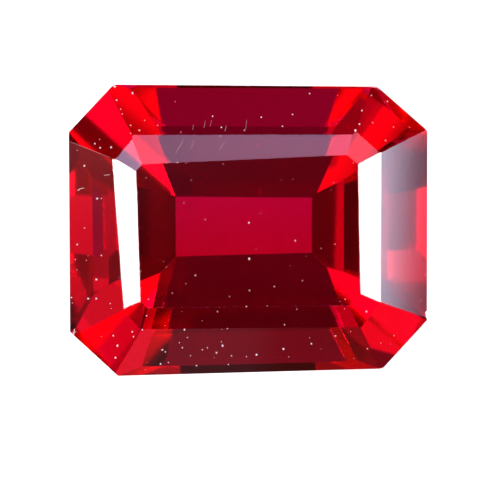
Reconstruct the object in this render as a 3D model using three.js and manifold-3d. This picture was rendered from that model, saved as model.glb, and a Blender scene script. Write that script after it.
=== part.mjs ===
// A loose, transparent, deep red crystal, cut as an octagon in flat steps.
// Millimetres, +Z up, +X along the long side. The stone rests on its flat back facet, in the plane Z = 0,
// and the origin is under the middle of its outline.
// The cutting starts from a block of rough. Each facet is one flat cut that takes away all outside its plane.

import * as THREE from 'three';
import { mergeVertices } from 'three/addons/utils/BufferGeometryUtils.js';
import Module from 'manifold-3d';

const wasm = await Module();
wasm.setup();

// Heights above the back facet
const GIRDLE_BOTTOM = 3.63;
const GIRDLE_TOP = 3.72;
const CROWN_BREAK = 4.41;
const TABLE = 4.60;

// The eight sides in the order of the outlines' edges: each edge runs from its own corner to the next one.
// Far is +Y and right is +X.
const SIDES = ['far', 'far_right', 'right', 'near_right', 'near', 'near_left', 'left', 'far_left'];

// Outlines from above, as [x, y] corners. The cut is a little uneven, as on a stone cut by hand.
const GIRDLE_CORNERS = [
  [-3.76, 4.07], [3.59, 4.03], [4.99, 2.80], [4.98, -2.50],
  [3.75, -3.85], [-3.63, -4.07], [-4.97, -2.84], [-5.00, 2.74],
];
const BREAK_CORNERS = [
  [-3.17, 2.64], [3.02, 2.81], [3.69, 2.22], [3.73, -1.95],
  [3.13, -2.63], [-2.95, -2.71], [-3.51, -2.18], [-3.71, 2.01],
];
const TABLE_CORNERS = [
  [-2.93, 1.91], [2.77, 2.18], [3.07, 1.92], [3.14, -1.70],
  [2.82, -2.02], [-2.78, -2.10], [-2.98, -1.92], [-3.10, 1.72],
];

// The back has three facets on each side. The first one starts at the girdle's lower edge. Its slope is in
// degrees from level.
const FIRST_SLOPE = {
  far: 66.6, far_right: 56.7, right: 50.8, near_right: 47.0,
  near: 62.6, near_left: 59.0, left: 58.3, far_left: 46.5,
};
// The two facets below it: the slope of each, and how far from the axis it meets the plane Z = 0
const DEEPER = {
  far: [{ slope: 46.4, foot: 0.89 }, { slope: 44.7, foot: 0.81 }],
  far_right: [{ slope: 52.9, foot: 2.63 }, { slope: 43.1, foot: 1.73 }],
  right: [{ slope: 46.1, foot: 1.81 }, { slope: 43.8, foot: 1.74 }],
  near_right: [{ slope: 49.8, foot: 2.31 }, { slope: 44.7, foot: 2.02 }],
  near: [{ slope: 45.7, foot: 0.81 }, { slope: 45.3, foot: 0.79 }],
  near_left: [{ slope: 47.7, foot: 2.16 }, { slope: 47.4, foot: 2.15 }],
  left: [{ slope: 46.9, foot: 2.15 }, { slope: 44.7, foot: 2.06 }],
  far_left: [{ slope: 47.6, foot: 2.27 }, { slope: 43.7, foot: 2.16 }],
};
// On the corners these two face a direction of their own, in degrees from +X
const DEEPER_FACES = { far_right: 53.7, near_right: -41.9, near_left: -127.9, far_left: 134.6 };

// The block of rough that the stone is cut from
const ROUGH = 14;

const COLOUR = 0x8e0a22;

/** A closed three.js geometry, placed by a matrix, as a solid for cutting. */
function solidOf(geometry, matrix) {
  const bare = geometry.index ? geometry.toNonIndexed() : geometry.clone();
  bare.deleteAttribute('normal');
  bare.deleteAttribute('uv');
  bare.applyMatrix4(matrix);
  const merged = mergeVertices(bare, 1e-5);
  return new wasm.Manifold(new wasm.Mesh({
    numProp: 3,
    vertProperties: merged.attributes.position.array,
    triVerts: new Uint32Array(merged.index.array),
  }));
}

/** A solid as a three.js geometry with flat facets. */
function geometryOf(solid) {
  const mesh = solid.getMesh();
  const geometry = new THREE.BufferGeometry();
  geometry.setAttribute('position', new THREE.BufferAttribute(mesh.vertProperties, 3));
  geometry.setIndex(new THREE.BufferAttribute(mesh.triVerts, 1));
  const flat = geometry.toNonIndexed();
  flat.computeVertexNormals();
  return flat;
}

/** The plane through three points whose normal leaves the stone's axis. */
function planeThrough(a, b, c) {
  const plane = new THREE.Plane().setFromCoplanarPoints(a, b, c);
  const inside = new THREE.Vector3(0, 0, GIRDLE_BOTTOM);
  return plane.distanceToPoint(inside) > 0 ? plane.negate() : plane;
}

/** A facet of the back through a point, given the direction it faces in radians and its slope in degrees. */
function backPlane(faces, slopeDegrees, point) {
  const slope = THREE.MathUtils.degToRad(slopeDegrees);
  const out = Math.sin(slope);
  const normal = new THREE.Vector3(Math.cos(faces) * out, Math.sin(faces) * out, -Math.cos(slope));
  return new THREE.Plane().setFromNormalAndCoplanarPoint(normal, point);
}

/** The two ends of a side's edge in an outline, at a height. */
function edge(corners, index, height) {
  const ends = [corners[index], corners[(index + 1) % corners.length]];
  return ends.map(([x, y]) => new THREE.Vector3(x, y, height));
}

/** The middle of two points. */
function middle(a, b) {
  return a.clone().lerp(b, 0.5);
}

/** The direction that an edge of the girdle faces, in radians from +X. */
function facing(index) {
  const [a, b] = edge(GIRDLE_CORNERS, index, 0);
  return Math.atan2(b.y - a.y, b.x - a.x) + Math.PI / 2;
}

/** The girdle's upright facet and both steps of the crown on one side. */
function crownPlanes(index) {
  const [g0, g1] = edge(GIRDLE_CORNERS, index, GIRDLE_TOP);
  const [b0, b1] = edge(BREAK_CORNERS, index, CROWN_BREAK);
  const [t0, t1] = edge(TABLE_CORNERS, index, TABLE);
  const below = g0.clone().setZ(0);
  return [
    planeThrough(g0, g1, below),
    planeThrough(b0, b1, middle(g0, g1)),
    planeThrough(t0, t1, middle(b0, b1)),
  ];
}

/** The facets of the back on one side. */
function backPlanes(side, index) {
  const start = middle(...edge(GIRDLE_CORNERS, index, GIRDLE_BOTTOM));
  const faces = side in DEEPER_FACES ? THREE.MathUtils.degToRad(DEEPER_FACES[side]) : facing(index);
  const away = new THREE.Vector3(Math.cos(faces), Math.sin(faces), 0);
  const first = backPlane(facing(index), FIRST_SLOPE[side], start);
  return [
    first,
    ...DEEPER[side].map(({ slope, foot }) => backPlane(faces, slope, away.clone().multiplyScalar(foot))),
  ];
}

/** The solid that one flat cut takes away: a block on the plane's outer side. */
function waste(plane) {
  const size = ROUGH * 3;
  const turn = new THREE.Quaternion().setFromUnitVectors(new THREE.Vector3(0, 0, 1), plane.normal);
  const centre = plane.normal.clone().multiplyScalar(size / 2 - plane.constant);
  const matrix = new THREE.Matrix4().compose(centre, turn, new THREE.Vector3(1, 1, 1));
  return solidOf(new THREE.BoxGeometry(size, size, size), matrix);
}

/** The stone: the rough, cut by the table, the crown, the girdle and the back. */
function cutCrystal() {
  const rough = new THREE.BoxGeometry(ROUGH, ROUGH, TABLE);
  const planes = SIDES.flatMap((side, index) => [...crownPlanes(index), ...backPlanes(side, index)]);
  let stone = solidOf(rough, new THREE.Matrix4().makeTranslation(0, 0, TABLE / 2));
  for (const plane of planes) {
    stone = stone.subtract(waste(plane));
  }
  const material = new THREE.MeshStandardMaterial({ color: COLOUR, roughness: 0.02, metalness: 0 });
  const mesh = new THREE.Mesh(geometryOf(stone), material);
  mesh.name = 'cut_crystal';
  return mesh;
}

const crystal = new THREE.Group();
crystal.add(cutCrystal());

export default crystal;
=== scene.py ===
"""A loose, deep red crystal, cut as an octagon in flat steps, seen from above its table.

The stone lies on a pale ground with a painted pool of light around it and a painted shadow under it, among
soft boxes, cards, panels and spots. All sizes are in millimetres until they reach Blender, which gets metres.
Far is +Y and right is +X, as in the picture.
"""

import logging
import math
import random
from dataclasses import dataclass, field
from typing import Any

import bmesh
import bpy
from mathutils import Matrix, Vector
from mathutils.bvhtree import BVHTree


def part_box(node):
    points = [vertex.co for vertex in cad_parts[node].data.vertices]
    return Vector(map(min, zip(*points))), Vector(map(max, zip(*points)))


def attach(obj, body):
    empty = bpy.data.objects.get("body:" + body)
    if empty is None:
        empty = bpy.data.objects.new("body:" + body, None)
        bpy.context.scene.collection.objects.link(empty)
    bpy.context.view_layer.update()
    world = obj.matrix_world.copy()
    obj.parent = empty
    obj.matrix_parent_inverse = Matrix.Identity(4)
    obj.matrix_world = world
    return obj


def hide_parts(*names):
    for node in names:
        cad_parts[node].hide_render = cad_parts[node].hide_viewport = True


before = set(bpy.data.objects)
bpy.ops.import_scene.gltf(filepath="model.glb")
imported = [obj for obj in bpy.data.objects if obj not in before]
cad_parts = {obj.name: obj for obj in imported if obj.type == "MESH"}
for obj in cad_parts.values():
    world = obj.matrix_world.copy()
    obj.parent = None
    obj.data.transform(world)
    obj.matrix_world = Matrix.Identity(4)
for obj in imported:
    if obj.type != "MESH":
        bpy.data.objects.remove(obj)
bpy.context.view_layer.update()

LOG = logging.getLogger("cut_crystal")
MM = 0.001
STONE_NODE = "cut_crystal"

# The picture's frame, and where the stone's outline lies in it
PICTURE_WIDTH = 500
PICTURE_HEIGHT = 480
OUTLINE_CENTRE = (248.25, 230.6)
OUTLINE_WIDTH = 358.5

# The stone's length in round millimetres, and how wide a pixel of the picture is on the stone, in metres
ROUND_LENGTH = 10.0
PIXEL = ROUND_LENGTH * MM / OUTLINE_WIDTH


def linear(hex_colour: str) -> tuple[float, float, float, float]:
    """Turns an sRGB hex colour into linear values.

    Args:
        hex_colour: six hex digits, such as "b0102a".

    Returns:
        Linear red, green, blue and an alpha of 1.
    """
    values = [int(hex_colour[place : place + 2], 16) / 255 for place in (0, 2, 4)]
    red, green, blue = (v / 12.92 if v <= 0.04045 else ((v + 0.055) / 1.055) ** 2.4 for v in values)
    return red, green, blue, 1.0


def add_node(tree: bpy.types.NodeTree, kind: str, settings: dict[str, Any] | None = None,
             inputs: dict[str, Any] | None = None) -> bpy.types.Node:
    """Adds a shader node with its settings, values and links.

    Args:
        tree: the node tree that it joins.
        kind: the node's type name, such as "ShaderNodeTexNoise".
        settings: properties of the node itself.
        inputs: for each input socket, a value, or the output socket to link.

    Returns:
        The new node.
    """
    node = tree.nodes.new(kind)
    for name, value in (settings or {}).items():
        setattr(node, name, value)
    for name, value in (inputs or {}).items():
        if isinstance(value, bpy.types.NodeSocket):
            tree.links.new(value, node.inputs[name])
        else:
            node.inputs[name].default_value = value
    return node


def new_material(name: str) -> tuple[bpy.types.Material, bpy.types.NodeTree]:
    """Makes an empty material with a node tree.

    Args:
        name: the material's name.

    Returns:
        The material and its emptied tree.
    """
    material = bpy.data.materials.new(name)
    material.use_nodes = True
    material.node_tree.nodes.clear()
    return material, material.node_tree


def new_piece(shape: bmesh.types.BMesh, name: str, material: bpy.types.Material) -> bpy.types.Object:
    """Turns a finished bmesh into an object at the origin, with one material.

    Args:
        shape: the shape, in metres, in the stone's own frame. It is freed.
        name: the object's name.
        material: its finish.

    Returns:
        The new object.
    """
    mesh = bpy.data.meshes.new(name)
    shape.to_mesh(mesh)
    shape.free()
    mesh.materials.append(material)
    piece = bpy.data.objects.new(name, mesh)
    bpy.context.scene.collection.objects.link(piece)
    return piece


@dataclass(frozen=True)
class PolishedCrystal:
    """Clear, strongly refracting red crystal, polished: bright glints, and colour from its depth."""

    ior: float = 1.77
    # Polished, and a little worn
    roughness: float = 0.05
    # What a millimetre of the crystal takes from red, green and blue light
    absorbed_per_mm: tuple[float, float, float] = (0.0063, 1.7, 0.36)

    def build(self) -> bpy.types.Material:
        """Makes the material: plain transmission, with absorption inside.

        Returns:
            The material.
        """
        material, tree = new_material("red_crystal_polished")
        strongest = max(self.absorbed_per_mm)
        tint = tuple(1 - amount / strongest for amount in self.absorbed_per_mm)
        surface = add_node(tree, "ShaderNodeBsdfPrincipled", inputs={
            "Base Color": (1.0, 1.0, 1.0, 1.0),
            "Roughness": self.roughness,
            "IOR": self.ior,
            "Transmission Weight": 1.0,
        })
        inside = add_node(tree, "ShaderNodeVolumeAbsorption", inputs={
            "Color": (*tint, 1.0),
            "Density": strongest / MM,
        })
        add_node(tree, "ShaderNodeOutputMaterial", inputs={
            "Surface": surface.outputs["BSDF"],
            "Volume": inside.outputs["Volume"],
        })
        return material


@dataclass(frozen=True)
class PaleLint:
    """Dust and lint: matt, pale and a little see-through, so that the red below it shows at its rim.

    It is lit from beside the camera as well, and that light is given as a glow of its own.
    """

    colour: str = "f6f0ee"
    see_through: float = 0.12
    # Painted light: the light from beside the camera, given as a glow
    glow: float = 0.35

    def build(self) -> bpy.types.Material:
        """Makes the material.

        Returns:
            The material.
        """
        material, tree = new_material("pale_lint_and_painted_light")
        matt = add_node(tree, "ShaderNodeBsdfDiffuse", inputs={"Color": linear(self.colour)})
        light = add_node(tree, "ShaderNodeEmission", inputs={
            "Color": linear(self.colour),
            "Strength": self.glow,
        })
        lit = add_node(tree, "ShaderNodeAddShader", inputs={
            0: matt.outputs["BSDF"],
            1: light.outputs["Emission"],
        })
        clear = add_node(tree, "ShaderNodeBsdfTransparent")
        mix = add_node(tree, "ShaderNodeMixShader", inputs={
            "Fac": self.see_through,
            1: lit.outputs["Shader"],
            2: clear.outputs["BSDF"],
        })
        add_node(tree, "ShaderNodeOutputMaterial", inputs={"Surface": mix.outputs["Shader"]})
        return material


@dataclass
class Sight:
    """The line from the camera through a place in the picture, down to the stone's surface."""

    eye: Vector
    turn: Matrix
    pixel: float
    surface: BVHTree | None = None

    def aim(self, shape: bmesh.types.BMesh) -> None:
        """Takes the stone's facets as the surface that places are found on.

        Args:
            shape: the stone's shape, in metres.
        """
        self.surface = BVHTree.FromBMesh(shape)

    def find(self, x: float, y: float) -> tuple[Vector, Vector] | None:
        """Finds the point of the stone behind a place in the picture.

        Args:
            x: pixels from the picture's left edge.
            y: pixels from its top edge.

        Returns:
            The point and the facet's outward direction, or None beside the stone.
        """
        point, facing, _, _ = self.surface.ray_cast(self.eye, self.direction(x, y))
        return None if point is None else (point, facing)

    def at_height(self, x: float, y: float, height: float) -> Vector:
        """Finds the point behind a place in the picture that lies at a height.

        Args:
            x: pixels from the picture's left edge.
            y: pixels from its top edge.
            height: the height, in metres.

        Returns:
            The point.
        """
        down = self.direction(x, y)
        return self.eye + down * ((height - self.eye.z) / down.z)

    def direction(self, x: float, y: float) -> Vector:
        """Gives the direction from the camera through a place in the picture.

        Args:
            x: pixels from the picture's left edge.
            y: pixels from its top edge.

        Returns:
            The direction, of length 1.
        """
        across = Vector(((x - PICTURE_WIDTH / 2) * self.pixel, (PICTURE_HEIGHT / 2 - y) * self.pixel, -1.0))
        return (self.turn @ across).normalized()


@dataclass(frozen=True)
class Camera:
    """A long lens almost straight above the stone, leaning a little to the far side and to the right."""

    lean_far: float = 4.2
    lean_right: float = 1.2
    lens: float = 1500.0
    sensor: float = 36.0
    # The nearest and the farthest that it sees, in metres
    clip: tuple[float, float] = (0.01, 10.0)

    def back(self) -> Vector:
        """Gives the direction from the stone to the camera."""
        far, right = math.radians(self.lean_far), math.radians(self.lean_right)
        return Vector((math.sin(right), math.sin(far) * math.cos(right), math.cos(far) * math.cos(right)))

    def build(self, length: float, height: float) -> Sight:
        """Places the camera so that the outline lies in the picture where it should.

        Args:
            length: the stone's length along X, in metres.
            height: the height of its girdle, in metres.

        Returns:
            The camera's line of sight.
        """
        size = length / OUTLINE_WIDTH
        distance = PICTURE_WIDTH * size * self.lens / self.sensor
        back = self.back()
        right = Vector((0, 1, 0)).cross(back).normalized()
        up = back.cross(right)
        turn = Matrix((right, up, back)).transposed()
        to_left = PICTURE_WIDTH / 2 - OUTLINE_CENTRE[0]
        upwards = OUTLINE_CENTRE[1] - PICTURE_HEIGHT / 2
        aside = right * to_left + up * upwards
        eye = Vector((0, 0, height)) + aside * size + back * distance
        data = bpy.data.cameras.new("camera")
        data.lens = self.lens
        data.sensor_width = self.sensor
        data.clip_start, data.clip_end = self.clip
        camera = bpy.data.objects.new("camera", data)
        camera.location = eye
        camera.rotation_euler = turn.to_euler()
        bpy.context.scene.collection.objects.link(camera)
        bpy.context.scene.camera = camera
        return Sight(eye, turn, self.sensor / self.lens / PICTURE_WIDTH)


# Worn corners of the girdle: pixel x and y of a point on the worn edge, and the direction it faces in degrees
WORN_CORNERS = (
    (374.6, 87.0, 79.0), (378.8, 88.6, 60.0), (426.9, 132.0, 22.0),
    (382.9, 367.9, -66.0), (114.3, 85.9, 112.0),
)

# Small breaks, as pixel x, pixel y and width in pixels
CHIPS_ON_GIRDLE = (
    (113.6, 84.2, 3.2), (111.2, 86.6, 2.6), (427.6, 313.0, 6.2), (427.4, 316.4, 5.0), (73.4, 332.0, 2.8),
    (75.6, 329.6, 2.0), (344.0, 86.4, 1.6), (355.2, 86.4, 1.4), (369.0, 86.8, 1.8), (194.0, 86.2, 1.4),
    (248.4, 86.3, 1.2), (186.2, 373.0, 1.6), (69.6, 204.0, 1.2), (70.4, 262.0, 1.4), (70.6, 281.0, 1.2),
)
CHIPS_ON_STEPS = (
    (119.6, 257.0, 3.0), (118.4, 214.4, 1.2), (141.2, 227.6, 1.3), (360.2, 244.0, 1.2), (381.0, 262.6, 1.3),
    (380.4, 196.0, 1.1), (141.6, 262.4, 1.1), (120.4, 289.0, 1.2), (133.0, 135.6, 1.4), (129.0, 129.0, 1.1),
)


@dataclass
class Stone:
    """The cut stone: a copy of its solid with softened facet edges, worn corners and small breaks."""

    # Corners of the solid's triangles that are closer than this become one, and so do facets that turn less
    # than this, in degrees
    merging: float = 0.0005
    flat: float = 0.05
    edge_softening: float = 0.012
    worn_lean: float = 12.0
    # A break is an uneven lump's hollow. The lump's middle is this many radii above the facet.
    break_lift: float = 0.35
    break_unevenness: tuple[float, float] = (0.75, 1.2)
    # How many times taller than wide the breaks are that lie beside the outline
    rim_break_height: float = 2.6
    worn_corners: tuple[tuple[float, float, float], ...] = WORN_CORNERS
    chips: tuple[tuple[float, float, float], ...] = CHIPS_ON_GIRDLE + CHIPS_ON_STEPS
    seed: int = 5
    finish: PolishedCrystal = PolishedCrystal()

    def build(self, sight: Sight) -> bpy.types.Object:
        """Makes the stone's piece and lets it stand for the solid.

        Args:
            sight: finds the places of the breaks, and is then aimed at the stone.

        Returns:
            The stone.
        """
        shape = bmesh.new()
        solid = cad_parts[STONE_NODE].data
        corners = [shape.verts.new(vert.co) for vert in solid.vertices]
        for facet in solid.polygons:
            shape.faces.new([corners[index] for index in facet.vertices])
        bmesh.ops.remove_doubles(shape, verts=shape.verts, dist=self.merging * MM)
        bmesh.ops.dissolve_limit(shape, angle_limit=math.radians(self.flat), verts=shape.verts,
                                 edges=shape.edges)
        sight.aim(shape)
        for corner in self.worn_corners:
            self.wear(shape, sight, *corner)
        bmesh.ops.bevel(shape, geom=shape.edges[:], offset=self.edge_softening * MM, affect="EDGES",
                        segments=1, profile=0.5, material=-1, clamp_overlap=True)
        bmesh.ops.recalc_face_normals(shape, faces=shape.faces)
        sight.aim(shape)
        stone = new_piece(shape, "stone", self.finish.build())
        self.chip(stone, sight)
        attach(stone, "root")
        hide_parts(STONE_NODE)
        return stone

    def wear(self, shape: bmesh.types.BMesh, sight: Sight, x: float, y: float, faces: float) -> None:
        """Takes the tip off a corner of the girdle with one small flat cut.

        Args:
            shape: the stone.
            sight: finds the place on the girdle's level.
            x: a place on the worn edge, in pixels.
            y: the same, downwards.
            faces: the direction that the cut faces, in degrees from +X.
        """
        turn, lean = math.radians(faces), math.radians(self.worn_lean)
        facing = Vector((math.cos(turn) * math.cos(lean), math.sin(turn) * math.cos(lean), math.sin(lean)))
        everything = shape.verts[:] + shape.edges[:] + shape.faces[:]
        cut = bmesh.ops.bisect_plane(shape, geom=everything, plane_co=sight.at_height(x, y, girdle_height()),
                                     plane_no=facing, clear_outer=True)
        rim = [part for part in cut["geom_cut"] if isinstance(part, bmesh.types.BMEdge)]
        bmesh.ops.contextual_create(shape, geom=rim)

    def chip(self, stone: bpy.types.Object, sight: Sight) -> None:
        """Breaks small hollows out of the stone's facets, and out of its girdle beside the outline.

        Args:
            stone: the stone.
            sight: finds the places on the stone.
        """
        chance = random.Random(self.seed)
        lumps = bmesh.new()
        for x, y, width in self.chips:
            found = sight.find(x, y)
            point, facing = found or (sight.at_height(x, y, girdle_height()), Vector())
            tall = 1.0 if found else self.rim_break_height
            radius = width / 2 * PIXEL
            lump = bmesh.ops.create_icosphere(lumps, subdivisions=1, radius=radius)["verts"]
            for vert in lump:
                vert.co = vert.co * chance.uniform(*self.break_unevenness)
                vert.co.z *= tall
                vert.co += point + facing * radius * self.break_lift
        breaks = new_piece(lumps, "breaks", stone.data.materials[0])
        hollow = stone.modifiers.new("hollows", "BOOLEAN")
        hollow.operation = "DIFFERENCE"
        hollow.solver = "EXACT"
        hollow.use_self = True
        hollow.object = breaks
        broken = bpy.data.meshes.new_from_object(stone.evaluated_get(bpy.context.evaluated_depsgraph_get()))
        stone.modifiers.remove(hollow)
        if len(broken.polygons) < len(stone.data.polygons):
            raise RuntimeError("the breaks took the stone away")
        stone.data = broken
        bpy.data.objects.remove(breaks)


# Dust that stands out in the picture, as pixel x, pixel y and width in pixels, facet by facet
DUST_ON_TABLE = (
    (248.9, 222.6, 2.2), (249.2, 258.7, 2.6), (205.2, 219.5, 1.4), (295.2, 240.5, 1.5), (195.4, 275.3, 1.5),
    (249.6, 290.4, 1.5), (274.3, 286.5, 1.3), (260.6, 213.4, 1.1), (140.8, 271.3, 1.2), (302.4, 280.6, 1.1),
)
DUST_ON_FAR_STEPS = (
    (132.6, 93.3, 2.2), (116.6, 100.4, 2.0), (139.4, 130.6, 2.0), (130.6, 125.5, 1.5), (261.3, 117.4, 2.2),
    (309.6, 93.7, 1.5), (292.5, 114.6, 1.4), (220.4, 136.3, 1.4), (212.6, 116.4, 1.6), (282.4, 126.4, 1.5),
    (221.4, 127.4, 1.3), (157.6, 125.4, 1.3), (144.6, 120.6, 1.3), (244.3, 130.4, 1.2), (371.3, 95.4, 1.4),
    (120.7, 109.3, 1.2), (122.4, 114.0, 1.2), (130.7, 133.3, 1.2), (177.5, 162.6, 1.4),
)
DUST_ON_CORNERS = (
    (355.4, 130.8, 3.4), (359.3, 124.2, 1.7), (361.9, 110.7, 2.0), (111.3, 147.4, 2.4), (95.1, 143.9, 2.2),
    (100.4, 147.9, 1.8), (385.4, 140.5, 1.5), (393.3, 127.0, 1.4), (387.3, 101.5, 1.5), (115.6, 357.5, 2.0),
    (117.6, 345.6, 2.2), (132.4, 331.6, 1.7), (133.6, 336.6, 1.6), (113.4, 335.4, 1.7), (366.4, 311.4, 1.8),
    (367.4, 348.5, 1.3), (114.8, 86.9, 2.4), (426.0, 314.0, 2.0),
)
DUST_ON_LEFT_STEPS = (
    (84.7, 165.7, 2.4), (96.6, 279.4, 2.2), (88.6, 298.6, 2.5), (96.5, 298.5, 2.2), (97.4, 198.5, 1.9),
    (101.5, 198.4, 1.3), (77.4, 244.4, 1.5), (75.5, 259.5, 1.4), (101.5, 255.4, 1.3), (110.4, 303.5, 1.4),
    (71.6, 297.4, 1.3), (84.6, 227.9, 1.3),
)
DUST_ON_NEAR_STEPS = (
    (222.6, 345.4, 2.6), (184.5, 329.4, 2.0), (182.4, 347.4, 2.0), (160.6, 363.6, 2.2), (162.4, 349.5, 1.9),
    (283.5, 348.6, 2.2), (256.5, 354.4, 2.1), (246.4, 306.5, 1.5), (216.5, 352.4, 1.8), (165.4, 351.6, 1.7),
    (231.5, 355.6, 1.6), (311.4, 343.5, 1.7), (284.5, 324.6, 1.5), (228.4, 364.4, 1.6), (179.5, 342.4, 1.4),
    (202.4, 349.5, 1.5), (146.6, 315.5, 1.5), (142.4, 329.5, 1.5), (190.5, 355.4, 1.3), (207.4, 347.6, 1.3),
    (196.5, 365.5, 1.4), (335.4, 335.6, 1.6), (217.5, 311.5, 1.2), (227.4, 328.4, 1.3), (187.5, 337.4, 1.2),
    (221.4, 341.6, 1.2), (168.4, 362.4, 1.3), (246.5, 356.4, 1.2),
)


@dataclass
class Dust:
    """Single specks of dust: lumps that lie on the facets."""

    finish: PaleLint = PaleLint()
    # How many fine specks there are, how wide they look, and the stretch of the picture that they lie in, all
    # in pixels. A gathering below 1 puts more of them on the near side.
    fine_specks: int = 90
    fine_width: tuple[float, float] = (0.5, 0.95)
    fine_across: tuple[float, float] = (72, 425)
    fine_down: tuple[float, float] = (88, 374)
    gathering: float = 0.7
    # The picture spreads a speck, so it is made this much narrower than it looks
    true_width: float = 0.8
    # How many radii a speck's middle is above the facet
    lift: float = 0.7
    stretch: tuple[float, float] = (0.75, 1.25)
    unevenness: tuple[float, float] = (0.85, 1.15)
    seed: int = 11
    named: tuple[tuple[tuple[float, float, float], ...], ...] = (
        DUST_ON_TABLE, DUST_ON_FAR_STEPS, DUST_ON_CORNERS, DUST_ON_LEFT_STEPS, DUST_ON_NEAR_STEPS,
    )

    def build(self, sight: Sight) -> bpy.types.Object:
        """Drops all specks on the stone.

        Args:
            sight: finds the places on the stone.

        Returns:
            The specks, as one piece.
        """
        chance = random.Random(self.seed)
        shape = bmesh.new()
        for speck in [speck for group in self.named for speck in group]:
            self.drop(shape, sight, chance, *speck)
        far, near = self.fine_down
        for _ in range(self.fine_specks):
            x = chance.uniform(*self.fine_across)
            y = far + (near - far) * chance.random() ** self.gathering
            self.drop(shape, sight, chance, x, y, chance.uniform(*self.fine_width))
        dust = new_piece(shape, "dust", self.finish.build())
        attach(dust, "root")
        return dust

    def drop(self, shape: bmesh.types.BMesh, sight: Sight, chance: random.Random, x: float, y: float,
             width: float) -> None:
        """Adds one uneven speck that rests on its facet.

        Args:
            shape: the specks so far.
            sight: finds the place on the stone.
            chance: the source of unevenness.
            x: the speck's place in the picture, in pixels.
            y: the same, downwards.
            width: how wide it looks, in pixels.
        """
        found = sight.find(x, y)
        if found is None:
            return
        point, facing = found
        radius = self.true_width * width / 2 * PIXEL
        lump = bmesh.ops.create_icosphere(shape, subdivisions=2, radius=radius)["verts"]
        stretch = Vector(chance.uniform(*self.stretch) for _ in range(3))
        for vert in lump:
            vert.co = Vector(a * b for a, b in zip(vert.co, stretch)) * chance.uniform(*self.unevenness)
            vert.co += point + facing * radius * self.lift


@dataclass(frozen=True)
class Mark:
    """A thin line on the stone: a thread of lint or a scratch."""

    # Its places and its width in the picture, in pixels
    path: tuple[tuple[float, float], ...]
    width: float
    # How many radii its middle is above the facet
    lift: float = 0.6


LINT = (
    Mark(((78.0, 190.6), (80.0, 189.0), (82.4, 188.2), (84.2, 188.0)), 1.2, 1.0),
    Mark(((104.2, 175.4), (107.0, 174.9), (109.8, 174.7)), 0.9),
    Mark(((113.8, 176.9), (116.3, 176.3)), 0.8),
    Mark(((71.6, 334.3), (74.0, 332.5), (76.2, 331.6)), 0.9),
    Mark(((73.6, 335.2), (74.2, 331.4), (74.5, 328.8)), 0.7),
)

SCRATCHES = (
    Mark(((175.8, 153.2), (179.5, 146.5), (183.4, 139.2)), 0.45, 0.1),
    Mark(((190.0, 149.4), (193.6, 144.2)), 0.5, 0.1),
    Mark(((192.4, 143.4), (194.2, 140.4)), 0.3, 0.1),
    Mark(((219.2, 150.2), (222.6, 145.2), (225.2, 141.6)), 0.4, 0.1),
    Mark(((224.8, 131.2), (226.4, 125.6)), 0.5, 0.1),
    Mark(((192.6, 130.0), (193.6, 124.6)), 0.3, 0.1),
    Mark(((204.0, 128.0), (205.4, 120.4)), 0.3, 0.1),
    Mark(((210.0, 126.4), (211.6, 120.0)), 0.3, 0.1),
    Mark(((245.6, 130.4), (246.8, 119.6)), 0.3, 0.1),
    Mark(((69.8, 141.4), (84.0, 147.2), (99.0, 153.2), (111.2, 158.0)), 0.3, 0.1),
)


@dataclass
class Lines:
    """Thin pale lines on the facets."""

    name: str
    marks: tuple[Mark, ...]
    finish: PaleLint = PaleLint()
    steps: int = 12
    sides: int = 6
    # How wide a line's ends are, its middle being 1
    taper: float = 0.35

    def build(self, sight: Sight) -> bpy.types.Object:
        """Lays each line on the facets below it.

        Args:
            sight: finds the places on the stone.

        Returns:
            The lines, as one piece.
        """
        shape = bmesh.new()
        for mark in self.marks:
            radius = mark.width / 2 * PIXEL
            points = []
            for step in range(self.steps + 1):
                place = step / self.steps * (len(mark.path) - 1)
                start = min(int(place), len(mark.path) - 2)
                (x0, y0), (x1, y1) = mark.path[start : start + 2]
                share = place - start
                found = sight.find(x0 + (x1 - x0) * share, y0 + (y1 - y0) * share)
                if found:
                    points.append(found[0] + found[1] * radius * mark.lift)
            self.tube(shape, points, radius)
        bmesh.ops.recalc_face_normals(shape, faces=shape.faces)
        piece = new_piece(shape, self.name, self.finish.build())
        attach(piece, "root")
        return piece

    def tube(self, shape: bmesh.types.BMesh, points: list[Vector], radius: float) -> None:
        """Adds a closed thin tube along a line of points, tapering at both ends.

        Args:
            shape: what it is added to.
            points: its middle line.
            radius: its radius, in metres.
        """
        last = len(points) - 1
        rings = []
        for index, point in enumerate(points):
            along = points[min(index + 1, last)] - points[max(index - 1, 0)]
            place = Matrix.LocRotScale(point, along.to_track_quat("Z", "Y"), None)
            end = index in (0, last)
            size = radius * (self.taper if end else 1.0)
            ring = bmesh.ops.create_circle(shape, cap_ends=end, segments=self.sides, radius=size,
                                           matrix=place)
            rings.append(list(dict.fromkeys(edge for vert in ring["verts"] for edge in vert.link_edges)))
        for ring, following in zip(rings, rings[1:]):
            bmesh.ops.bridge_loops(shape, edges=ring + following)


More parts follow.
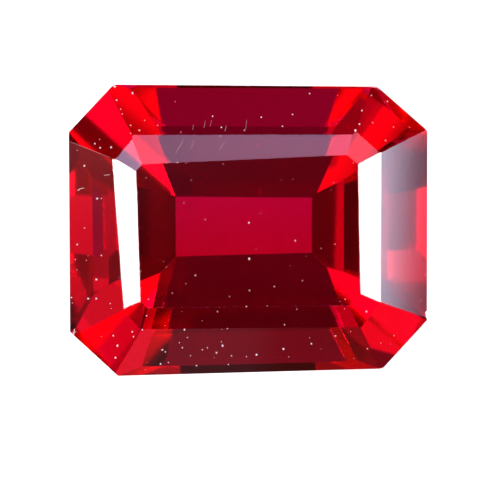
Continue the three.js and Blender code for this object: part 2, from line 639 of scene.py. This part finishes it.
@dataclass(frozen=True)
class SoftBox:
    """A lamp behind white cloth, aimed at the stone. Its light fades out towards its rim."""

    name: str
    # Where it stands as seen from the stone, and how much of the stone's sky it spans, all in degrees
    from_zenith: float
    azimuth: float
    width: float
    height: float
    # How many times brighter than white paper it looks
    brightness: float
    tint: str = "ffffff"
    # The share of its width and height, at each edge, in which its light fades out
    rim: float = 0.15
    distance: float = 700.0

    def build(self, target: Vector) -> bpy.types.Object:
        """Places the lamp.

        Args:
            target: the point that it faces, in metres.

        Returns:
            The lamp's object.
        """
        lamp = bpy.data.lights.new(self.name, "AREA")
        lamp.shape = "RECTANGLE"
        lamp.size = 2 * self.distance * MM * math.tan(math.radians(self.width / 2))
        lamp.size_y = 2 * self.distance * MM * math.tan(math.radians(self.height / 2))
        lamp.energy = self.brightness * LAMP_WATTS * lamp.size * lamp.size_y
        self.soften_rim(lamp)
        holder = bpy.data.objects.new(self.name, lamp)
        tilt = math.radians(self.from_zenith)
        turn = math.radians(self.azimuth)
        away = Vector((math.sin(tilt) * math.cos(turn), math.sin(tilt) * math.sin(turn), math.cos(tilt)))
        holder.location = target + away * self.distance * MM
        holder.rotation_euler = away.to_track_quat("Z", "Y").to_euler()
        holder.visible_camera = False
        bpy.context.scene.collection.objects.link(holder)
        return holder

    def soften_rim(self, lamp: bpy.types.Light) -> None:
        """Lets the cloth's light fade out towards all four edges.

        Args:
            lamp: the area lamp.
        """
        lamp.use_nodes = True
        tree = lamp.node_tree
        tree.nodes.clear()
        place = add_node(tree, "ShaderNodeNewGeometry")
        split = add_node(tree, "ShaderNodeSeparateXYZ", inputs={"Vector": place.outputs["Parametric"]})
        shares = []
        for axis in ("X", "Y"):
            from_middle = add_node(tree, "ShaderNodeMath", {"operation": "SUBTRACT"}, {
                0: split.outputs[axis],
                1: 0.5,
            })
            off = add_node(tree, "ShaderNodeMath", {"operation": "ABSOLUTE"}, {
                0: from_middle.outputs["Value"],
            })
            share = add_node(tree, "ShaderNodeMapRange", {"interpolation_type": "SMOOTHSTEP"}, {
                "Value": off.outputs["Value"],
                "From Min": 0.5 - self.rim,
                "From Max": 0.5,
                "To Min": 1.0,
                "To Max": 0.0,
            })
            shares.append(share.outputs["Result"])
        both = add_node(tree, "ShaderNodeMath", {"operation": "MULTIPLY"}, {0: shares[0], 1: shares[1]})
        light = add_node(tree, "ShaderNodeEmission", inputs={
            "Color": linear(self.tint),
            "Strength": both.outputs["Value"],
        })
        add_node(tree, "ShaderNodeOutputLight", inputs={"Surface": light.outputs["Emission"]})


# Watts for one square metre of lamp that looks as bright as white paper in full light
LAMP_WATTS = math.pi

# Small cards close to the stone: their soft rims lie in the lower steps as a veil that fades across the facet
CARDS = (
    SoftBox("card_right", 52.5, -4.0, 22.0, 14.0, 8.2, "e3e3ff", rim=0.2, distance=48.8),
    SoftBox("card_left", 57.9, 171.0, 28.0, 12.0, 0.6, "fff4f6", rim=0.35, distance=48.6),
    SoftBox("card_near", 60.8, -95.2, 10.8, 14.0, 0.11, "f3daff", rim=0.16, distance=48.8),
)

# The room's brightness at every nine degrees from straight above, white paper being 1
ROOM = (0.002, 0.001, 0.036, 0.228, 0, 0.009, 0.003, 0.063, 0.16, 0.228, 0.665)


@dataclass
class Studio:
    """The ground, the lamps and the dark room above."""

    floor_size: float = 1400.0
    # How far the ground is below the back facet, so that the two don't share a plane
    floor_gap: float = 0.003
    floor_colour: str = "b3b3b3"
    # A painted pool of light, a glow of the ground's own, white paper being 1: around the stone, farther off,
    # and where it fades
    painted_floor_light_near: float = 1.12
    painted_floor_light_far: float = 0.2
    painted_floor_light_fade: tuple[float, float] = (12.0, 20.0)
    # A painted shadow under the stone, tinted with painted light that reaches the ground through the stone:
    # the middle of the patch, which the stone hides from the camera, where it ends to the sides, far and
    # near, and over the corners, in millimetres, and its linear colour. Right under the back facet the
    # painted light is brighter, and bluer on the far side.
    painted_shadow_middle: tuple[float, float, float] = (-0.08, -0.27, 0.0)
    painted_shadow_reach: tuple[float, float, float] = (4.78, 3.82, 5.2)
    painted_shadow_softness: float = 0.22
    corner_slant: tuple[float, float] = (0.67, 0.74)
    # The painted shadow's colour: dim, and tinted red by painted light through the stone
    glow: tuple[float, float, float, float] = (0.21, 0.03, 0.05, 1.0)
    # Painted light right under the back facet: where it ends, its soft rim, and its far and near colour
    facet_reach: tuple[float, float, float] = (2.23, 0.97, 9.0)
    facet_softness: float = 0.06
    painted_facet_light_far: tuple[float, float, float, float] = (0.34, 0.04, 0.15, 1.0)
    painted_facet_light_near: tuple[float, float, float, float] = (0.34, 0.02, 0.036, 1.0)
    # How bright the room is from straight above, where the camera hangs, down to the horizon, in even steps
    room: tuple[float, ...] = ROOM
    room_tint: str = "fffbe4"
    boxes: tuple[SoftBox, ...] = field(default_factory=tuple)
    # How often light may turn on its way through the stone
    bounces: int = 32

    def build(self, target: Vector) -> None:
        """Makes the whole studio.

        Args:
            target: the middle of the stone, in metres.
        """
        self.build_floor()
        self.build_room()
        for box in self.boxes:
            box.build(target)
        scene = bpy.context.scene
        scene.view_settings.view_transform = "Standard"
        scene.cycles.max_bounces = self.bounces
        scene.cycles.transmission_bounces = self.bounces
        scene.cycles.glossy_bounces = self.bounces

    def build_floor(self) -> None:
        """Makes the pale ground, just under the back facet."""
        shape = bmesh.new()
        bmesh.ops.create_grid(shape, x_segments=1, y_segments=1, size=self.floor_size / 2 * MM)
        bmesh.ops.translate(shape, verts=shape.verts, vec=(0, 0, -self.floor_gap * MM))
        ground = new_piece(shape, "ground", self.pale_ground_painted_light())

    def pale_ground_painted_light(self) -> bpy.types.Material:
        """Makes the ground: matt and pale, with painted light as a glow of its own, tinted and weakened by a
        painted shadow under the stone.

        Returns:
            The material.
        """
        material, tree = new_material("pale_ground_painted_light")
        surface = add_node(tree, "ShaderNodeBsdfDiffuse", inputs={"Color": linear(self.floor_colour)})
        place = add_node(tree, "ShaderNodeNewGeometry")
        split = add_node(tree, "ShaderNodeSeparateXYZ", inputs={"Vector": place.outputs["Position"]})
        distance = add_node(tree, "ShaderNodeVectorMath", {"operation": "LENGTH"}, {
            0: place.outputs["Position"],
        })
        # Painted pool of light: the ground glows brightly around the stone and dimly farther off
        far_off = self.fade(tree, distance.outputs["Value"], *self.painted_floor_light_fade)
        near, far = ((light, light, light, 1.0) for light in (self.painted_floor_light_near, self.painted_floor_light_far))
        around = self.blend(tree, far_off, near, far)
        # Painted light under the back facet: bluer towards the far side
        across_facet = add_node(tree, "ShaderNodeMapRange", inputs={
            "Value": split.outputs["Y"],
            "From Min": -self.facet_reach[1] * MM,
            "From Max": self.facet_reach[1] * MM,
        })
        painted_facet_light = self.blend(tree, across_facet.outputs["Result"], self.painted_facet_light_near,
                                  self.painted_facet_light_far)
        beside_facet = self.outside(tree, split, self.facet_reach, self.facet_softness)
        # Painted shadow under the stone, with the painted light of the back facet inside it
        painted_shadow_under_stone = self.blend(tree, beside_facet, painted_facet_light, self.glow)
        shifted = add_node(tree, "ShaderNodeVectorMath", {"operation": "SUBTRACT"}, {
            0: place.outputs["Position"],
            1: tuple(part * MM for part in self.painted_shadow_middle),
        })
        split_painted_shadow = add_node(tree, "ShaderNodeSeparateXYZ", inputs={"Vector": shifted.outputs["Vector"]})
        beside_stone = self.outside(tree, split_painted_shadow, self.painted_shadow_reach, self.painted_shadow_softness)
        colour = self.blend(tree, beside_stone, painted_shadow_under_stone, around)
        # All of the ground's glow is painted light, and the ground is no lamp
        light = add_node(tree, "ShaderNodeEmission", inputs={"Color": colour, "Strength": 1.0})
        both = add_node(tree, "ShaderNodeAddShader", inputs={
            0: surface.outputs["BSDF"],
            1: light.outputs["Emission"],
        })
        add_node(tree, "ShaderNodeOutputMaterial", inputs={"Surface": both.outputs["Shader"]})
        return material

    @staticmethod
    def blend(tree: bpy.types.NodeTree, share: bpy.types.NodeSocket, first: Any,
              second: Any) -> bpy.types.NodeSocket:
        """Mixes two colours.

        Args:
            tree: the node tree.
            share: how much of the second one, from 0 to 1.
            first: a linear colour or a socket.
            second: the same.

        Returns:
            The mixed colour's socket.
        """
        mix = add_node(tree, "ShaderNodeMixRGB", inputs={"Fac": share, "Color1": first, "Color2": second})
        return mix.outputs["Color"]

    @staticmethod
    def fade(tree: bpy.types.NodeTree, value: bpy.types.NodeSocket, start: float,
             end: float) -> bpy.types.NodeSocket:
        """Turns a distance into a soft step.

        Args:
            tree: the node tree.
            value: the distance, in metres.
            start: where the step begins, in millimetres.
            end: where it ends.

        Returns:
            A socket with 0 before the step and 1 after it.
        """
        step = add_node(tree, "ShaderNodeMapRange", {"interpolation_type": "SMOOTHSTEP"}, {
            "Value": value,
            "From Min": start * MM,
            "From Max": end * MM,
        })
        return step.outputs["Result"]

    def outside(self, tree: bpy.types.NodeTree, split: bpy.types.Node, reach: tuple[float, float, float],
                softness: float) -> bpy.types.NodeSocket:
        """Marks the ground outside an octagon around its middle.

        Args:
            tree: the node tree.
            split: the place on the ground, split into X, Y and Z.
            reach: how far the octagon goes along X, along Y and towards its cut corners, in millimetres.
            softness: half the width of its soft rim, in millimetres.

        Returns:
            A socket with 0 inside and 1 outside.
        """
        off_x, off_y = (add_node(tree, "ShaderNodeMath", {"operation": "ABSOLUTE"}, {0: split.outputs[axis]})
                        for axis in "XY")
        x, y = off_x.outputs["Value"], off_y.outputs["Value"]
        slant_x = add_node(tree, "ShaderNodeMath", {"operation": "MULTIPLY"}, {0: x, 1: self.corner_slant[0]})
        slant = add_node(tree, "ShaderNodeMath", {"operation": "MULTIPLY_ADD"}, {
            0: y,
            1: self.corner_slant[1],
            2: slant_x.outputs["Value"],
        })
        result = None
        for distance, limit in zip((x, y, slant.outputs["Value"]), reach):
            share = self.fade(tree, distance, limit - softness, limit + softness)
            if result is not None:
                wider = add_node(tree, "ShaderNodeMath", {"operation": "MAXIMUM"}, {0: result, 1: share})
                share = wider.outputs["Value"]
            result = share
        return result

    def build_room(self) -> None:
        """Makes a room: white to the camera, dim to all that it lights, nearly black straight above."""
        world = bpy.data.worlds.new("room")
        bpy.context.scene.world = world
        world.use_nodes = True
        tree = world.node_tree
        tree.nodes.clear()
        ray = add_node(tree, "ShaderNodeLightPath")
        seen = add_node(tree, "ShaderNodeBackground", inputs={"Color": (1, 1, 1, 1), "Strength": 1.0})
        direction = add_node(tree, "ShaderNodeTexCoord")
        split = add_node(tree, "ShaderNodeSeparateXYZ", inputs={"Vector": direction.outputs["Generated"]})
        angle = add_node(tree, "ShaderNodeMath", {"operation": "ARCCOSINE"}, {0: split.outputs["Z"]})
        down = add_node(tree, "ShaderNodeMath", {"operation": "DIVIDE"}, {
            0: angle.outputs["Value"],
            1: math.pi / 2,
        })
        fade = add_node(tree, "ShaderNodeValToRGB", inputs={"Fac": down.outputs["Value"]})
        for _ in self.room[2:]:
            fade.color_ramp.elements.new(0.5)
        for index, brightness in enumerate(self.room):
            step = fade.color_ramp.elements[index]
            step.position = index / (len(self.room) - 1)
            step.color = [brightness * part for part in linear(self.room_tint)]
        lit = add_node(tree, "ShaderNodeBackground", inputs={"Color": fade.outputs["Color"], "Strength": 1.0})
        mix = add_node(tree, "ShaderNodeMixShader", inputs={
            "Fac": ray.outputs["Is Camera Ray"],
            1: lit.outputs["Background"],
            2: seen.outputs["Background"],
        })
        add_node(tree, "ShaderNodeOutputWorld", inputs={"Surface": mix.outputs["Shader"]})


# The two soft boxes that lie white in the end facets, and the panels and spots that the other facets catch.
# The panels' cloth is a little blue.
BLUISH = "cdcdff"
BLUE = "bcbcff"
BOXES = (
    SoftBox("box_left", 43.2, -168.3, 14.9, 13.7, 15.0, rim=0.08),
    SoftBox("box_right", 39.3, -5.4, 5.9, 17.5, 14.0, rim=0.08),
    SoftBox("panel_above", 12.2, 100.4, 5.6, 12.3, 0.15, BLUISH),
    SoftBox("panel_above_2", 11.5, -119.5, 14.9, 9.5, 0.13, BLUISH),
    SoftBox("panel_above_3", 9.7, 104.9, 10.0, 19.9, 0.12, BLUISH),
    SoftBox("panel_above_4", 9.1, 151.2, 10.5, 20.3, 0.08, BLUISH),
    SoftBox("panel_above_5", 6.4, -157.2, 6.4, 17.6, 0.20, BLUISH),
    SoftBox("panel_above_6", 12.0, -35.3, 10.3, 19.1, 0.15, BLUISH),
    SoftBox("panel_far_left", 26.1, 150.1, 26.0, 9.5, 9.0, BLUISH),
    SoftBox("panel_far_left_2", 31.4, 138.8, 15.1, 17.2, 3.8, BLUISH),
    SoftBox("panel_far_right", 60.1, 34.3, 5.0, 10.3, 0.68, BLUISH),
    SoftBox("panel_far_right_2", 30.4, 43.6, 30.7, 5.0, 1.35, BLUISH),
    SoftBox("panel_far_right_3", 60.0, 28.4, 14.0, 10.0, 2.0, BLUISH),
    SoftBox("panel_far", 46.4, 93.6, 11.4, 7.0, 0.80, BLUISH),
    SoftBox("panel_far_2", 27.3, 82.6, 16.6, 4.0, 1.75, BLUE),
    SoftBox("panel_far_3", 31.6, 75.8, 5.4, 8.9, 0.87, BLUE),
    SoftBox("panel_far_4", 33.8, 99.6, 5.0, 9.7, 0.81, BLUISH),
    SoftBox("panel_far_5", 54.4, 74.6, 22.0, 8.5, 1.34, BLUISH),
    SoftBox("panel_far_6", 36.0, 89.3, 10.0, 20.0, 1.05, BLUISH),
    SoftBox("panel_near_left", 57.0, -154.2, 24.2, 5.1, 0.29, BLUISH),
    SoftBox("panel_near_left_2", 78.4, -152.8, 6.0, 6.0, 2.0, BLUISH),
    SoftBox("panel_near_right", 14.7, -33.7, 19.0, 11.1, 0.98, BLUISH),
    SoftBox("panel_near_right_2", 59.7, -30.5, 16.2, 51.9, 0.84, BLUISH),
    SoftBox("panel_near_right_3", 47.6, -67.4, 28.0, 14.0, 0.70, BLUISH),
    SoftBox("panel_near", 23.9, -101.1, 14.5, 9.9, 0.71, BLUISH),
    SoftBox("panel_near_2", 23.0, -90.3, 5.0, 10.0, 0.83, BLUISH),
    SoftBox("panel_left", 14.6, 178.0, 8.2, 6.4, 0.99, BLUISH),
    SoftBox("panel_left_2", 56.3, -170.1, 9.3, 10.3, 0.07, BLUISH),
    SoftBox("panel_left_3", 55.9, 158.1, 5.8, 13.2, 0.32, BLUISH),
    SoftBox("panel_left_4", 60.0, -163.6, 10.1, 9.7, 0.92, BLUISH),
    SoftBox("panel_left_5", 74.4, 175.4, 7.1, 6.9, 1.82, BLUISH),
    SoftBox("panel_left_6", 28.6, 177.3, 8.7, 20.5, 0.58, BLUISH),
    SoftBox("panel_left_7", 70.8, 158.8, 15.1, 20.1, 0.39, BLUISH),
    SoftBox("panel_left_8", 71.7, 180.0, 10.0, 20.0, 1.15, BLUISH),
    SoftBox("spot_left", 73.6, -164.0, 5.4, 5.4, 2.8),
    SoftBox("spot_left_2", 71.5, -177.2, 5.5, 6.0, 0.80, BLUISH),
    SoftBox("panel_right", 74.7, -18.9, 33.6, 21.9, 0.76, BLUISH),
    SoftBox("panel_right_2", 58.6, 20.0, 48.6, 15.7, 0.60, BLUISH),
    SoftBox("panel_right_3", 27.1, 1.0, 6.6, 17.1, 0.78, BLUISH),
    SoftBox("panel_right_4", 63.8, -18.1, 5.0, 8.7, 1.01, BLUISH),
    SoftBox("panel_right_5", 76.7, 0.8, 9.4, 6.8, 1.8, BLUISH),
    SoftBox("panel_right_6", 47.8, -0.6, 10.0, 20.0, 0.70, BLUISH),
    SoftBox("spot_right", 56.6, 12.8, 5.4, 5.4, 2.4),
    SoftBox("spot_right_2", 38.0, 7.9, 14.5, 5.8, 7.4, BLUISH),
)


def girdle_height() -> float:
    """Finds how high the stone is widest.

    Returns:
        The height, in metres.
    """
    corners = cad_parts[STONE_NODE].data.vertices
    return max(corners, key=lambda vert: (round(vert.co.x, 6), vert.co.z)).co.z


def main() -> None:
    """Builds the camera, the studio, the stone and what lies on it, in that order."""
    logging.basicConfig(level=logging.INFO, format="%(name)s: %(message)s")
    low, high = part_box(STONE_NODE)
    girdle = girdle_height()
    sight = Camera().build(high[0] - low[0], girdle)
    Studio(boxes=BOXES + CARDS).build(Vector((0, 0, girdle)))
    stone = Stone().build(sight)
    pieces = [stone, Dust().build(sight), Lines("lint", LINT).build(sight)]
    pieces.append(Lines("scratches", SCRATCHES, PaleLint(see_through=0.75)).build(sight))
    for piece in pieces:
        LOG.info("%s: %d faces", piece.name, len(piece.data.polygons))


if __name__ == "__main__":
    main()
